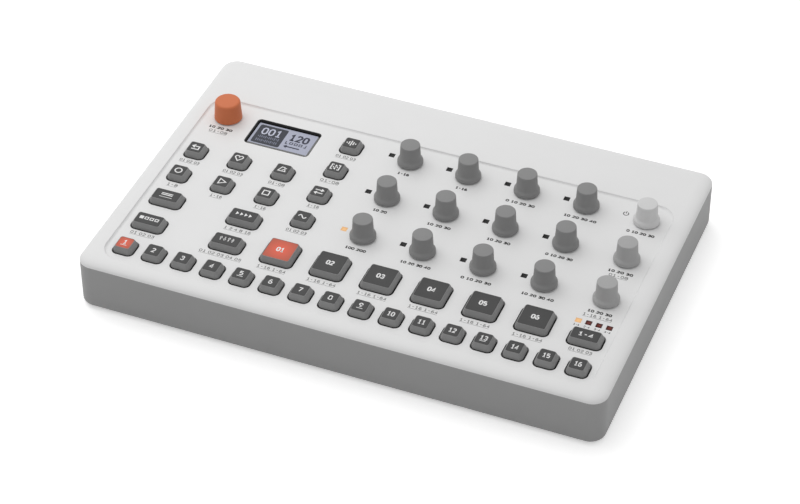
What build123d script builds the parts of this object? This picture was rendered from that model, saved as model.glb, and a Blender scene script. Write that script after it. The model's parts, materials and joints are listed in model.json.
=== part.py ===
from build123d import *
import math
import os

# Tabletop groovebox. Millimetres, +Z up, +X to the player's right, +Y to the back.
# The origin is the middle of the footprint, on the surface that the rubber feet stand on.

# Case plan
CASE_LENGTH = 270.0
CASE_DEPTH = 180.0
CORNER_RADIUS = 8.0
WALL = 2.5
RIM_SIDE = 9.1
RIM_FRONT = 7.8
RIM_BACK = 35.1
RECESS_RADIUS = 9.5
RECESS_SLOPE = 0.5

# Heights, stacked from the surface upwards
FOOT_HEIGHT = 1.5
FLOOR = 2.5
SOCKET_BAY = 12.2
BOARD_THICKNESS = 1.6
BOARD_GAP = 8.6
COVER_THICKNESS = 1.9
RIM_RISE = 1.0

# Edges of the two case halves
COVER_ROLL = 6.5
COVER_ROLL_STEPS = 6
CASE_EDGE_RADIUS = 1.8
RECESS_EDGE_RADIUS = 0.2
RECESS_FLOOR_RADIUS = 1.4
LIP_DEPTH = 3.0
LIP_THICKNESS = 1.6
LIP_CLEARANCE = 0.2

# Keys and pads: tapered caps in openings of the cover
KEY_WIDTH = 10.5
WIDE_KEY_LENGTH = 16.7
PAD_WIDTH = 16.7
KEY_TAPER = 1.3
KEY_HEIGHT = 3.3
KEY_RADIUS = 2.6
KEY_TOP_RADIUS = 0.8
KEY_TOP_EDGE = 0.2
KEY_CLEARANCE = 0.6
KEY_TRAVEL = 1.0
KEY_FLANGE = 0.6
KEY_FLANGE_THICKNESS = 1.2
KEY_STOP_GAP = 0.3
STEM_RADIUS = 2.0
WINDOW_BORDER = 0.2
WINDOW_THICKNESS = 0.6
WINDOW_CLEARANCE = 0.05

# Key layout: margins inside the sunk panel, counted from the openings
KEY_MARGIN_LEFT = 4.0
KEY_MARGIN_RIGHT = 3.5
KEY_MARGIN_FRONT = 4.75
KEY_MARGIN_DISPLAY = 10.95
KEY_COLUMN_PITCH = 24.07
KEY_COLUMNS = 4
STEP_KEYS = 16
PADS = 6
KEY_ROWS = 4

# Knobs
KNOB_TOP_RADIUS = 5.0
KNOB_NECK_RADIUS = 5.4
KNOB_SKIRT_RADIUS = 6.6
KNOB_HEIGHT = 11.8
KNOB_NECK_HEIGHT = 4.4
KNOB_SKIRT_HEIGHT = 1.9
KNOB_TOP_EDGE = 0.45
KNOB_GAP = 0.5
DATA_KNOB_TOP_RADIUS = 6.6
DATA_KNOB_BASE_RADIUS = 7.25
DATA_KNOB_HEIGHT = 11.1
DATA_KNOB_TOP_EDGE = 1.3
KNOB_COLUMNS = 4
KNOB_ROWS = 3
KNOB_LEAD = 32.1
KNOB_MARGIN_BACK = 13.4
KNOB_MARGIN_PADS = 18.05
SHAFT_RADIUS = 3.0
SHAFT_FLAT = 1.2
SHAFT_DEPTH_IN_KNOB = 7.0
SHAFT_SEAT_CLEARANCE = 0.05
SHAFT_CLEARANCE = 0.3
SHAFT_HOLE_CLEARANCE = 0.6

# Indicator lights
LIGHT_WIDTH = 3.0
LIGHT_OFFSET_X = 10.95
LIGHT_OFFSET_Y = 2.4
LIGHT_CLEARANCE = 0.05
LIGHT_FLANGE = 0.8
LIGHT_FLANGE_THICKNESS = 1.0
LIGHT_LENGTH_BELOW_COVER = 5.0
PAGE_LIGHTS = 4
PAGE_LIGHT_GAP = 4.55
PAGE_LIGHT_PITCH = 5.13

# Display
DISPLAY_WIDTH = 35.7
DISPLAY_DEPTH = 20.9
DISPLAY_RADIUS = 2.2
DISPLAY_SINK = 1.4
DISPLAY_MARGIN_BACK = 8.1
DISPLAY_CLEARANCE = 0.2
DISPLAY_FLANGE = 1.8
DISPLAY_FLANGE_THICKNESS = 2.0
DISPLAY_FRAME_WALL = 1.5
DISPLAY_LEDGE = 1.2

# Circuit board and what is soldered to it
BOARD_MARGIN = 4.5
SWITCH_WIDTH = 6.0
SWITCH_HEIGHT = 3.2
SWITCH_WELL_CLEARANCE = 0.3
STEM_ENGAGEMENT = 0.6
STEM_END_GAP = 0.5
ENCODER_WIDTH = 12.0
ENCODER_HEIGHT = 5.5
ENCODER_BUSH_RADIUS = 4.5
ENCODER_FLOOR = 1.0

# Rear sockets, hung under the board's back edge
JACK_BORE_RADIUS = 3.25
JACK_NOSE_RADIUS = 4.6
JACK_WIDTH = 14.0
JACK_HEIGHT = 10.5
JACK_BODY_DEPTH = 20.0
JACK_BORE_DEPTH = 18.0
JACK_PITCH = 22.0
JACKS = 3
MINI_JACK_BORE_RADIUS = 1.8
MINI_JACK_NOSE_RADIUS = 3.0
MINI_JACK_WIDTH = 8.0
MINI_JACK_HEIGHT = 7.0
MINI_JACK_BODY_DEPTH = 12.0
MINI_JACK_BORE_DEPTH = 12.0
MINI_JACK_PITCH = 15.0
MINI_JACKS = 2
USB_WIDTH = 9.0
USB_HEIGHT = 3.4
USB_DEPTH = 8.0
USB_SHELL = 0.4
USB_TONGUE = 0.7
DC_BORE_RADIUS = 2.9
DC_PIN_RADIUS = 1.05
DC_WIDTH = 9.0
DC_HEIGHT = 10.0
DC_BODY_DEPTH = 12.0
DC_BORE_DEPTH = 10.0
SOCKET_GROUP_GAP = 20.0
SOCKET_SIDE_MARGIN = 22.0
SOCKET_HOLE_CLEARANCE = 0.2
SOCKET_WALL_GAP = 0.3

# Screws, bosses and feet
SCREW_INSET_X = 10.0
SCREW_INSET_Y = 7.5
SCREW_RADIUS = 1.5
SCREW_HEAD_RADIUS = 2.7
SCREW_HEAD_HEIGHT = 1.2
SCREW_RECESS = 0.3
SCREW_KEY_RADIUS = 1.2
SCREW_KEY_DEPTH = 0.8
SCREW_ENGAGEMENT = 6.0
SCREW_HOLE_CLEARANCE = 0.2
SCREW_PILOT_CLEARANCE = 0.05
SCREW_TIP_GAP = 0.5
BOSS_WALL = 2.3
BOSS_RIB = 3.0
WALL_JOINT = 14.5
PLATE_CLEARANCE = 0.1
POST_WALL = 1.4
FOOT_RADIUS = 6.0
FOOT_POCKET = 0.8
FOOT_CLEARANCE = 0.1
FOOT_INSET_X = 22.0
FOOT_INSET_Y = 20.0
FOOT_EDGE = 0.4

# Levels
floor_bottom_z = FOOT_HEIGHT
floor_top_z = floor_bottom_z + FLOOR
board_bottom_z = floor_top_z + SOCKET_BAY
board_top_z = board_bottom_z + BOARD_THICKNESS
cover_under_z = board_top_z + BOARD_GAP
panel_z = cover_under_z + COVER_THICKNESS
seam_z = cover_under_z
rim_z = panel_z + RIM_RISE

# Outline of the sunk panel
recess_left = RIM_SIDE - CASE_LENGTH / 2
recess_right = CASE_LENGTH / 2 - RIM_SIDE
recess_front = RIM_FRONT - CASE_DEPTH / 2
recess_back = CASE_DEPTH / 2 - RIM_BACK

# Key columns and rows
key_opening = KEY_WIDTH + 2 * KEY_CLEARANCE
wide_opening = WIDE_KEY_LENGTH + 2 * KEY_CLEARANCE
pad_opening = PAD_WIDTH + 2 * KEY_CLEARANCE
first_key_x = recess_left + KEY_MARGIN_LEFT + key_opening / 2
last_key_x = recess_right - KEY_MARGIN_RIGHT - key_opening / 2
step_pitch = (last_key_x - first_key_x) / (STEP_KEYS - 1)
step_row_y = recess_front + KEY_MARGIN_FRONT + key_opening / 2
key_column_x = [first_key_x + KEY_COLUMN_PITCH * i for i in range(KEY_COLUMNS)]
wide_shift = (wide_opening - key_opening) / 2
wide_left_x = key_column_x[0] + wide_shift
wide_right_x = key_column_x[2] - wide_shift
right_column_x = last_key_x - wide_shift
display_x = (key_column_x[1] + key_column_x[2]) / 2
display_y = recess_back - DISPLAY_MARGIN_BACK - DISPLAY_DEPTH / 2
upper_key_y = display_y - DISPLAY_DEPTH / 2 - KEY_MARGIN_DISPLAY - key_opening / 2
row_pitch = (upper_key_y - step_row_y) / KEY_ROWS
key_row_y = [step_row_y + row_pitch * j for j in range(KEY_ROWS + 1)]
pad_y = key_row_y[1] + (pad_opening - key_opening) / 2
pad_pitch = (right_column_x - key_column_x[-1]) / PADS

# Knob columns and rows
knob_top_y = recess_back - KNOB_MARGIN_BACK
knob_low_y = pad_y + pad_opening / 2 + KNOB_MARGIN_PADS
knob_pitch_y = (knob_top_y - knob_low_y) / (KNOB_ROWS - 1)
knob_left_x = key_column_x[-1] + KNOB_LEAD
knob_pitch_x = (right_column_x - knob_left_x) / KNOB_COLUMNS
knob_row_y = [knob_top_y - knob_pitch_y * j for j in range(KNOB_ROWS)]
side_key_names = ("pulse_key", "loop_key", "swap_key", "wave_key")
side_key_pitch = (knob_top_y - knob_low_y) / (len(side_key_names) - 1)

# Every key: name, middle of its opening, cap length along X and width along Y
keys = []
for number in range(STEP_KEYS):
    x = first_key_x + step_pitch * number
    keys.append((f"step_key_{number + 1:02d}", x, step_row_y, KEY_WIDTH, KEY_WIDTH))
for number in range(PADS):
    x = key_column_x[-1] + pad_pitch * number
    keys.append((f"pad_{number + 1}", x, pad_y, PAD_WIDTH, PAD_WIDTH))
for row, names in (
    (4, ("return_key", "save_key", "metronome_key")),
    (3, ("record_key", "play_key", "stop_key")),
):
    for column, name in enumerate(names):
        keys.append((name, key_column_x[column], key_row_y[row], KEY_WIDTH, KEY_WIDTH))
for place, name in enumerate(side_key_names):
    keys.append((name, key_column_x[-1], knob_top_y - side_key_pitch * place, KEY_WIDTH, KEY_WIDTH))
for name, x, row in (
    ("function_key", wide_left_x, 2),
    ("repeat_key", wide_right_x, 2),
    ("pattern_key", wide_left_x, 1),
    ("track_key", wide_right_x, 1),
    ("page_key", right_column_x, 1),
):
    keys.append((name, x, key_row_y[row], WIDE_KEY_LENGTH, KEY_WIDTH))

# Every knob: name and axis
knobs = []
for row in range(KNOB_ROWS):
    for column in range(KNOB_COLUMNS):
        name = f"parameter_knob_{row + 1}{column + 1}"
        knobs.append((name, knob_left_x + knob_pitch_x * column, knob_row_y[row]))
for row, name in enumerate(("volume_knob", "effect_knob_1", "effect_knob_2")):
    knobs.append((name, right_column_x, knob_row_y[row]))
knobs.append(("data_knob", wide_left_x, knob_top_y))

# Every indicator light: one beside each parameter knob, and the page lights above the page key
lights = []
for row in range(KNOB_ROWS):
    for column in range(KNOB_COLUMNS):
        x = knob_left_x + knob_pitch_x * column - LIGHT_OFFSET_X
        lights.append((x, knob_row_y[row] + LIGHT_OFFSET_Y))
page_light_y = key_row_y[1] + key_opening / 2 + PAGE_LIGHT_GAP + LIGHT_WIDTH / 2
for number in range(PAGE_LIGHTS):
    lights.append((right_column_x + PAGE_LIGHT_PITCH * (number - (PAGE_LIGHTS - 1) / 2), page_light_y))

# Screws and feet
screw_x = CASE_LENGTH / 2 - SCREW_INSET_X
screw_y = CASE_DEPTH / 2 - SCREW_INSET_Y
screws = [(x, y) for x in (-screw_x, 0.0, screw_x) for y in (-screw_y, screw_y)]
screw_seat_z = floor_bottom_z + SCREW_RECESS + SCREW_HEAD_HEIGHT
foot_x = CASE_LENGTH / 2 - FOOT_INSET_X
foot_y = CASE_DEPTH / 2 - FOOT_INSET_Y
feet = [(x, y) for x in (-foot_x, foot_x) for y in (-foot_y, foot_y)]

# Sockets along the back wall, from the player's left
wall_inner_y = CASE_DEPTH / 2 - WALL
jack_x = [SOCKET_SIDE_MARGIN - CASE_LENGTH / 2 + JACK_WIDTH / 2 + JACK_PITCH * i for i in range(JACKS)]
dc_x = CASE_LENGTH / 2 - SOCKET_SIDE_MARGIN - DC_WIDTH / 2
usb_x = dc_x - DC_WIDTH / 2 - SOCKET_GROUP_GAP
mini_right_x = usb_x - USB_WIDTH / 2 - SOCKET_GROUP_GAP
mini_jack_x = [mini_right_x - MINI_JACK_PITCH * i for i in range(MINI_JACKS)]
jack_z = board_bottom_z - JACK_HEIGHT / 2
mini_jack_z = board_bottom_z - MINI_JACK_HEIGHT / 2
usb_z = board_bottom_z - USB_HEIGHT / 2
dc_z = board_bottom_z - DC_HEIGHT / 2


def block(length, width, low, high, x=0.0, y=0.0):
    """Rectangular block centred on (x, y) between two levels."""
    return Pos(x, y, (low + high) / 2) * Box(length, width, high - low)


def rounded(length, width, radius, low, high, x=0.0, y=0.0):
    """Block with rounded upright corners between two levels."""
    return Pos(x, y, low) * extrude(RectangleRounded(length, width, radius), high - low)


def rod(radius, low, high, x=0.0, y=0.0):
    """Upright cylinder between two levels."""
    return Pos(x, y, (low + high) / 2) * Cylinder(radius, high - low)


def rod_y(radius, front, back, x, z):
    """Cylinder along Y between two depths."""
    return Pos(x, (front + back) / 2, z) * Rot(90, 0, 0) * Cylinder(radius, back - front)


def edges_at(solid, level, tolerance=1e-4):
    """All edges that lie in one horizontal plane."""
    def flat(edge):
        box = edge.bounding_box()
        return abs(box.min.Z - level) < tolerance and abs(box.max.Z - level) < tolerance

    return solid.edges().filter_by(flat)


def knob_bore(x, y, low, high, clearance):
    """Space for a flatted shaft."""
    space = rod(SHAFT_RADIUS + clearance, low, high, x, y)
    side = 2 * (SHAFT_RADIUS + clearance)
    flat_y = y + SHAFT_RADIUS - SHAFT_FLAT + clearance
    return space - block(side, side, low, high, x, flat_y + side / 2)


def rolled_plate():
    """Plate over the whole case whose upper edge rolls off in a quarter of an ellipse."""
    sections = []
    for step in range(COVER_ROLL_STEPS + 1):
        angle = math.radians(90) * step / COVER_ROLL_STEPS
        inset = COVER_ROLL * (1 - math.cos(angle))
        level = seam_z + (rim_z - seam_z) * math.sin(angle)
        outline = RectangleRounded(CASE_LENGTH - 2 * inset, CASE_DEPTH - 2 * inset, CORNER_RADIUS - inset)
        sections.append(Pos(0, 0, level) * outline)
    return loft(sections)


def make_top_cover():
    """White cover: rolled rim, sunk panel, openings, locating lip and screw posts."""
    cover = rolled_plate()
    recess_length = recess_right - recess_left
    recess_width = recess_back - recess_front
    recess_y = (recess_back + recess_front) / 2
    slope = 2 * RECESS_SLOPE
    recess_floor = RectangleRounded(recess_length - slope, recess_width - slope, RECESS_RADIUS - RECESS_SLOPE)
    recess_mouth = RectangleRounded(recess_length, recess_width, RECESS_RADIUS)
    cover -= loft([Pos(0, recess_y, panel_z) * recess_floor, Pos(0, recess_y, rim_z) * recess_mouth])
    cover = fillet(edges_at(cover, panel_z), RECESS_FLOOR_RADIUS)
    crest = cover.faces().sort_by(Axis.Z)[-1]
    cover = fillet(crest.inner_wires()[0].edges(), RECESS_EDGE_RADIUS)
    inset = WALL + LIP_CLEARANCE
    inner_length = CASE_LENGTH - 2 * inset
    inner_depth = CASE_DEPTH - 2 * inset
    inner_radius = CORNER_RADIUS - inset
    lip = rounded(inner_length, inner_depth, inner_radius, cover_under_z - LIP_DEPTH, cover_under_z)
    lip -= rounded(
        inner_length - 2 * LIP_THICKNESS,
        inner_depth - 2 * LIP_THICKNESS,
        inner_radius - LIP_THICKNESS,
        cover_under_z - LIP_DEPTH,
        cover_under_z,
    )
    posts = [rod(SCREW_RADIUS + POST_WALL, board_top_z, cover_under_z, x, y) for x, y in screws]
    cover = cover + lip + posts
    pilot_top = board_top_z + SCREW_ENGAGEMENT + SCREW_TIP_GAP
    cuts = [rod(SCREW_RADIUS + SCREW_PILOT_CLEARANCE, board_top_z, pilot_top, x, y) for x, y in screws]
    low = cover_under_z
    high = rim_z
    for name, x, y, length, width in keys:
        opening_radius = KEY_RADIUS + KEY_CLEARANCE
        cuts.append(
            rounded(length + 2 * KEY_CLEARANCE, width + 2 * KEY_CLEARANCE, opening_radius, low, high, x, y)
        )
    for name, x, y in knobs:
        cuts.append(rod(SHAFT_RADIUS + SHAFT_HOLE_CLEARANCE, low, high, x, y))
    for x, y in lights:
        side = LIGHT_WIDTH + 2 * LIGHT_CLEARANCE
        cuts.append(block(side, side, low, high, x, y))
    cuts.append(rounded(DISPLAY_WIDTH, DISPLAY_DEPTH, DISPLAY_RADIUS, low, high, display_x, display_y))
    return cover - cuts


def make_base_plate():
    """Flat plate let into the foot of the grey walls, with screw holes and foot pockets."""
    inset = WALL + PLATE_CLEARANCE
    plate = rounded(
        CASE_LENGTH - 2 * inset, CASE_DEPTH - 2 * inset, CORNER_RADIUS - inset, floor_bottom_z, floor_top_z
    )
    cuts = []
    for x, y in screws:
        cuts.append(rod(SCREW_RADIUS + SCREW_HOLE_CLEARANCE, floor_bottom_z, floor_top_z, x, y))
        cuts.append(rod(SCREW_HEAD_RADIUS + SCREW_HOLE_CLEARANCE, floor_bottom_z, screw_seat_z, x, y))
    for x, y in feet:
        cuts.append(rod(FOOT_RADIUS + FOOT_CLEARANCE, floor_bottom_z, floor_bottom_z + FOOT_POCKET, x, y))
    return plate - cuts


def make_bottom_case():
    """Grey walls with ribbed screw bosses and socket holes, in four lengths, and the base plate."""
    walls = rounded(CASE_LENGTH, CASE_DEPTH, CORNER_RADIUS, floor_bottom_z, seam_z)
    walls = fillet(edges_at(walls, floor_bottom_z), CASE_EDGE_RADIUS)
    walls -= rounded(
        CASE_LENGTH - 2 * WALL, CASE_DEPTH - 2 * WALL, CORNER_RADIUS - WALL, floor_bottom_z, seam_z
    )
    hole_radius = SCREW_RADIUS + SCREW_HOLE_CLEARANCE
    cuts = []
    for x, y in screws:
        wall_y = wall_inner_y if y > 0 else -wall_inner_y
        rib_y = (y + wall_y) / 2
        walls += rod(hole_radius + BOSS_WALL, floor_top_z, board_bottom_z, x, y)
        walls += block(BOSS_RIB, abs(wall_y - y), floor_top_z, board_bottom_z, x, rib_y)
        cuts.append(rod(hole_radius, floor_top_z, board_bottom_z, x, y))
    back = CASE_DEPTH / 2
    for x in jack_x:
        cuts.append(rod_y(JACK_NOSE_RADIUS + SOCKET_HOLE_CLEARANCE, wall_inner_y, back, x, jack_z))
    for x in mini_jack_x:
        hole_radius = MINI_JACK_NOSE_RADIUS + SOCKET_HOLE_CLEARANCE
        cuts.append(rod_y(hole_radius, wall_inner_y, back, x, mini_jack_z))
    cuts.append(
        Pos(usb_x, (wall_inner_y + back) / 2, usb_z)
        * Box(USB_WIDTH + 2 * SOCKET_HOLE_CLEARANCE, WALL, USB_HEIGHT + 2 * SOCKET_HOLE_CLEARANCE)
    )
    cuts.append(
        Pos(dc_x, (wall_inner_y + back) / 2, dc_z)
        * Box(DC_WIDTH + 2 * SOCKET_HOLE_CLEARANCE, WALL, DC_HEIGHT + 2 * SOCKET_HOLE_CLEARANCE)
    )
    walls -= cuts
    joint_x = CASE_LENGTH / 2 - WALL_JOINT
    end_x = CASE_LENGTH / 2 - WALL_JOINT / 2
    half_depth = CASE_DEPTH / 2
    lengths = [
        block(WALL_JOINT, CASE_DEPTH, floor_bottom_z, seam_z, -end_x),
        block(WALL_JOINT, CASE_DEPTH, floor_bottom_z, seam_z, end_x),
        block(2 * joint_x, half_depth, floor_bottom_z, seam_z, 0, -half_depth / 2),
        block(2 * joint_x, half_depth, floor_bottom_z, seam_z, 0, half_depth / 2),
    ]
    return [walls & length for length in lengths] + [make_base_plate()]


def make_circuit_board():
    """Board with a push switch under every key and an encoder under every knob."""
    board = block(CASE_LENGTH - 2 * WALL - 2 * BOARD_MARGIN, CASE_DEPTH - 2 * WALL - 2 * BOARD_MARGIN,
                  board_bottom_z, board_top_z)
    hole_radius = SCREW_RADIUS + SCREW_HOLE_CLEARANCE
    board -= [rod(hole_radius, board_bottom_z, board_top_z, x, y) for x, y in screws]
    solids = [board]
    switch_top = board_top_z + SWITCH_HEIGHT
    well_floor = switch_top - STEM_ENGAGEMENT - KEY_TRAVEL - STEM_END_GAP
    for name, x, y, length, width in keys:
        switch = block(SWITCH_WIDTH, SWITCH_WIDTH, board_top_z, switch_top, x, y)
        solids.append(switch - rod(STEM_RADIUS + SWITCH_WELL_CLEARANCE, well_floor, switch_top, x, y))
    for name, x, y in knobs:
        encoder = block(ENCODER_WIDTH, ENCODER_WIDTH, board_top_z, board_top_z + ENCODER_HEIGHT, x, y)
        encoder += rod(ENCODER_BUSH_RADIUS, board_top_z + ENCODER_HEIGHT, cover_under_z, x, y)
        encoder -= rod(SHAFT_RADIUS + SHAFT_CLEARANCE, board_top_z + ENCODER_FLOOR, cover_under_z, x, y)
        solids.append(encoder)
    return solids


def make_display():
    """Display: open frame on the board, and the glass that stands into the cover's window."""
    plate_length = DISPLAY_WIDTH + 2 * DISPLAY_FLANGE
    plate_width = DISPLAY_DEPTH + 2 * DISPLAY_FLANGE
    pocket_length = plate_length + 2 * DISPLAY_CLEARANCE
    pocket_width = plate_width + 2 * DISPLAY_CLEARANCE
    seat_z = cover_under_z - DISPLAY_FLANGE_THICKNESS
    frame = block(pocket_length + 2 * DISPLAY_FRAME_WALL, pocket_width + 2 * DISPLAY_FRAME_WALL,
                  board_top_z, cover_under_z)
    frame -= block(pocket_length, pocket_width, seat_z, cover_under_z)
    frame -= block(pocket_length - 2 * DISPLAY_LEDGE, pocket_width - 2 * DISPLAY_LEDGE, board_top_z, seat_z)
    glass = block(plate_length, plate_width, seat_z, cover_under_z)
    glass += rounded(
        DISPLAY_WIDTH - 2 * DISPLAY_CLEARANCE,
        DISPLAY_DEPTH - 2 * DISPLAY_CLEARANCE,
        DISPLAY_RADIUS - DISPLAY_CLEARANCE,
        cover_under_z,
        panel_z - DISPLAY_SINK,
    )
    place = Pos(display_x, display_y, 0)
    return [place * frame, place * glass]


def make_lights():
    """Light pipes, flush with the panel, each with a flange under the cover."""
    solids = []
    for x, y in lights:
        pipe = block(LIGHT_WIDTH, LIGHT_WIDTH, cover_under_z - LIGHT_LENGTH_BELOW_COVER, panel_z, x, y)
        side = LIGHT_WIDTH + 2 * LIGHT_FLANGE
        solids.append(pipe + block(side, side, cover_under_z - LIGHT_FLANGE_THICKNESS, cover_under_z, x, y))
    return solids


def round_socket(x, z, width, height, depth, nose_radius, bore_radius, bore_depth):
    """Socket body under the board, with a round nose through the back wall and a blind bore."""
    back = CASE_DEPTH / 2
    body_back = wall_inner_y - SOCKET_WALL_GAP
    body = Pos(x, body_back - depth / 2, z) * Box(width, depth, height)
    body += rod_y(nose_radius, body_back, back, x, z)
    return body - rod_y(bore_radius, back - bore_depth, back, x, z)


def make_rear_sockets():
    """Audio jacks, small jacks, USB socket and DC inlet."""
    back = CASE_DEPTH / 2
    body_back = wall_inner_y - SOCKET_WALL_GAP
    solids = []
    for x in jack_x:
        solids.append(round_socket(x, jack_z, JACK_WIDTH, JACK_HEIGHT, JACK_BODY_DEPTH,
                                   JACK_NOSE_RADIUS, JACK_BORE_RADIUS, JACK_BORE_DEPTH))
    for x in mini_jack_x:
        solids.append(round_socket(x, mini_jack_z, MINI_JACK_WIDTH, MINI_JACK_HEIGHT, MINI_JACK_BODY_DEPTH,
                                   MINI_JACK_NOSE_RADIUS, MINI_JACK_BORE_RADIUS, MINI_JACK_BORE_DEPTH))
    shell = Pos(usb_x, back - USB_DEPTH / 2, usb_z) * Box(USB_WIDTH, USB_DEPTH, USB_HEIGHT)
    cavity_depth = USB_DEPTH - USB_SHELL
    shell -= Pos(usb_x, back - cavity_depth / 2, usb_z) * Box(
        USB_WIDTH - 2 * USB_SHELL, cavity_depth, USB_HEIGHT - 2 * USB_SHELL)
    tongue_width = USB_WIDTH - 6 * USB_SHELL
    tongue_y = back - cavity_depth / 2 - USB_SHELL
    shell += Pos(usb_x, tongue_y, usb_z) * Box(tongue_width, cavity_depth, USB_TONGUE)
    solids.append(shell)
    inlet = Pos(dc_x, body_back - DC_BODY_DEPTH / 2, dc_z) * Box(DC_WIDTH, DC_BODY_DEPTH, DC_HEIGHT)
    inlet += Pos(dc_x, (body_back + back) / 2, dc_z) * Box(DC_WIDTH, back - body_back, DC_HEIGHT)
    inlet -= rod_y(DC_BORE_RADIUS, back - DC_BORE_DEPTH, back, dc_x, dc_z)
    inlet += rod_y(DC_PIN_RADIUS, back - DC_BORE_DEPTH, back - SOCKET_WALL_GAP, dc_x, dc_z)
    solids.append(inlet)
    return solids


def make_feet_and_screws():
    """Rubber feet in their pockets, and the screws that hold the halves and the board."""
    solids = []
    for x, y in feet:
        foot = rod(FOOT_RADIUS, 0, floor_bottom_z + FOOT_POCKET, x, y)
        solids.append(fillet(edges_at(foot, 0), FOOT_EDGE))
    head_low = screw_seat_z - SCREW_HEAD_HEIGHT
    for x, y in screws:
        screw = rod(SCREW_HEAD_RADIUS, head_low, screw_seat_z, x, y)
        screw += rod(SCREW_RADIUS, screw_seat_z, board_top_z + SCREW_ENGAGEMENT, x, y)
        socket = extrude(RegularPolygon(SCREW_KEY_RADIUS, 6), SCREW_KEY_DEPTH)
        solids.append(screw - Pos(x, y, head_low) * socket)
    return solids


def make_key(x, y, length, width):
    """Tapered key cap with a guided skirt, a retaining flange, a stem and a top window."""
    top_z = panel_z + KEY_HEIGHT
    top_length = length - 2 * KEY_TAPER
    top_width = width - 2 * KEY_TAPER
    base = Pos(0, 0, panel_z) * RectangleRounded(length, width, KEY_RADIUS)
    top = Pos(0, 0, top_z) * RectangleRounded(top_length, top_width, KEY_TOP_RADIUS)
    cap = loft([base, top], ruled=True)
    cap = fillet(edges_at(cap, top_z), KEY_TOP_EDGE)
    flange_top = cover_under_z - KEY_STOP_GAP
    flange_low = flange_top - KEY_FLANGE_THICKNESS
    overhang = 2 * (KEY_CLEARANCE + KEY_FLANGE)
    flange_radius = KEY_RADIUS + KEY_CLEARANCE + KEY_FLANGE
    cap += rounded(length, width, KEY_RADIUS, flange_top, panel_z)
    cap += rounded(length + overhang, width + overhang, flange_radius, flange_low, flange_top)
    stem_low = board_top_z + SWITCH_HEIGHT - STEM_ENGAGEMENT
    cap += rod(STEM_RADIUS, stem_low, flange_low)
    window_length = top_length - 2 * WINDOW_BORDER
    window_width = top_width - 2 * WINDOW_BORDER
    window_low = top_z - WINDOW_THICKNESS
    window_radius = KEY_TOP_RADIUS - WINDOW_BORDER
    cap -= rounded(window_length, window_width, window_radius, window_low, top_z)
    window = rounded(
        window_length - 2 * WINDOW_CLEARANCE,
        window_width - 2 * WINDOW_CLEARANCE,
        window_radius - WINDOW_CLEARANCE,
        window_low,
        top_z,
    )
    return [Pos(x, y, 0) * cap, Pos(x, y, 0) * window]


def make_shaft(x, y):
    """Encoder shaft, flatted where it enters the knob."""
    low = board_top_z + ENCODER_FLOOR + SHAFT_CLEARANCE
    flat_low = panel_z + KNOB_GAP
    high = flat_low + SHAFT_DEPTH_IN_KNOB
    return rod(SHAFT_RADIUS, low, flat_low, x, y) + knob_bore(x, y, flat_low, high, 0.0)


def bored(cap, x, y):
    """A knob cap put in place, with the blind bore that seats on the shaft."""
    low = panel_z + KNOB_GAP
    return Pos(x, y, panel_z) * cap - knob_bore(x, y, low, low + SHAFT_DEPTH_IN_KNOB, SHAFT_SEAT_CLEARANCE)


def make_knob(x, y):
    """Knob with a tapered barrel and a flared skirt, and its shaft."""
    barrel_top = KNOB_HEIGHT - KNOB_TOP_EDGE
    foot = (KNOB_SKIRT_RADIUS, KNOB_GAP)
    skirt = (KNOB_SKIRT_RADIUS, KNOB_SKIRT_HEIGHT)
    neck = (KNOB_NECK_RADIUS, KNOB_NECK_HEIGHT)
    shoulder = (KNOB_TOP_RADIUS, barrel_top)
    crown = (KNOB_TOP_RADIUS - KNOB_TOP_EDGE, KNOB_HEIGHT)
    upward = (0.0, 1.0)
    barrel_slope = (KNOB_TOP_RADIUS - KNOB_NECK_RADIUS, barrel_top - KNOB_NECK_HEIGHT)
    outline = [
        Line((0, KNOB_GAP), foot),
        Line(foot, skirt),
        Spline(skirt, neck, tangents=(upward, barrel_slope)),
        Line(neck, shoulder),
        RadiusArc(shoulder, crown, -KNOB_TOP_EDGE),
        Line(crown, (0, KNOB_HEIGHT)),
        Line((0, KNOB_HEIGHT), (0, KNOB_GAP)),
    ]
    cap = revolve(Plane.XZ * make_face(outline), Axis.Z)
    return [bored(cap, x, y), make_shaft(x, y)]


def make_data_knob(x, y):
    """Plain tapered knob with a well rounded crown, and its shaft."""
    cap = loft([
        Pos(0, 0, KNOB_GAP) * Circle(DATA_KNOB_BASE_RADIUS),
        Pos(0, 0, DATA_KNOB_HEIGHT) * Circle(DATA_KNOB_TOP_RADIUS),
    ])
    cap = fillet(edges_at(cap, DATA_KNOB_HEIGHT), DATA_KNOB_TOP_EDGE)
    return [bored(cap, x, y), make_shaft(x, y)]


def write(name, solids):
    """One file per node: a single solid, or a group of separate ones."""
    if isinstance(solids, list):
        solids = Compound(children=solids)
    export_step(solids, f"parts/{name}.step")


os.makedirs("parts", exist_ok=True)
write("top_cover", make_top_cover())
write("bottom_case", make_bottom_case())
write("circuit_board", make_circuit_board())
write("display_module", make_display())
write("indicator_lights", make_lights())
write("rear_sockets", make_rear_sockets())
write("feet_and_screws", make_feet_and_screws())
for key_name, key_x, key_y, key_length, key_width in keys:
    write(key_name, make_key(key_x, key_y, key_length, key_width))
for knob_name, knob_x, knob_y in knobs:
    maker = make_data_knob if knob_name == "data_knob" else make_knob
    write(knob_name, maker(knob_x, knob_y))
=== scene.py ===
import json
import math

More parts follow.
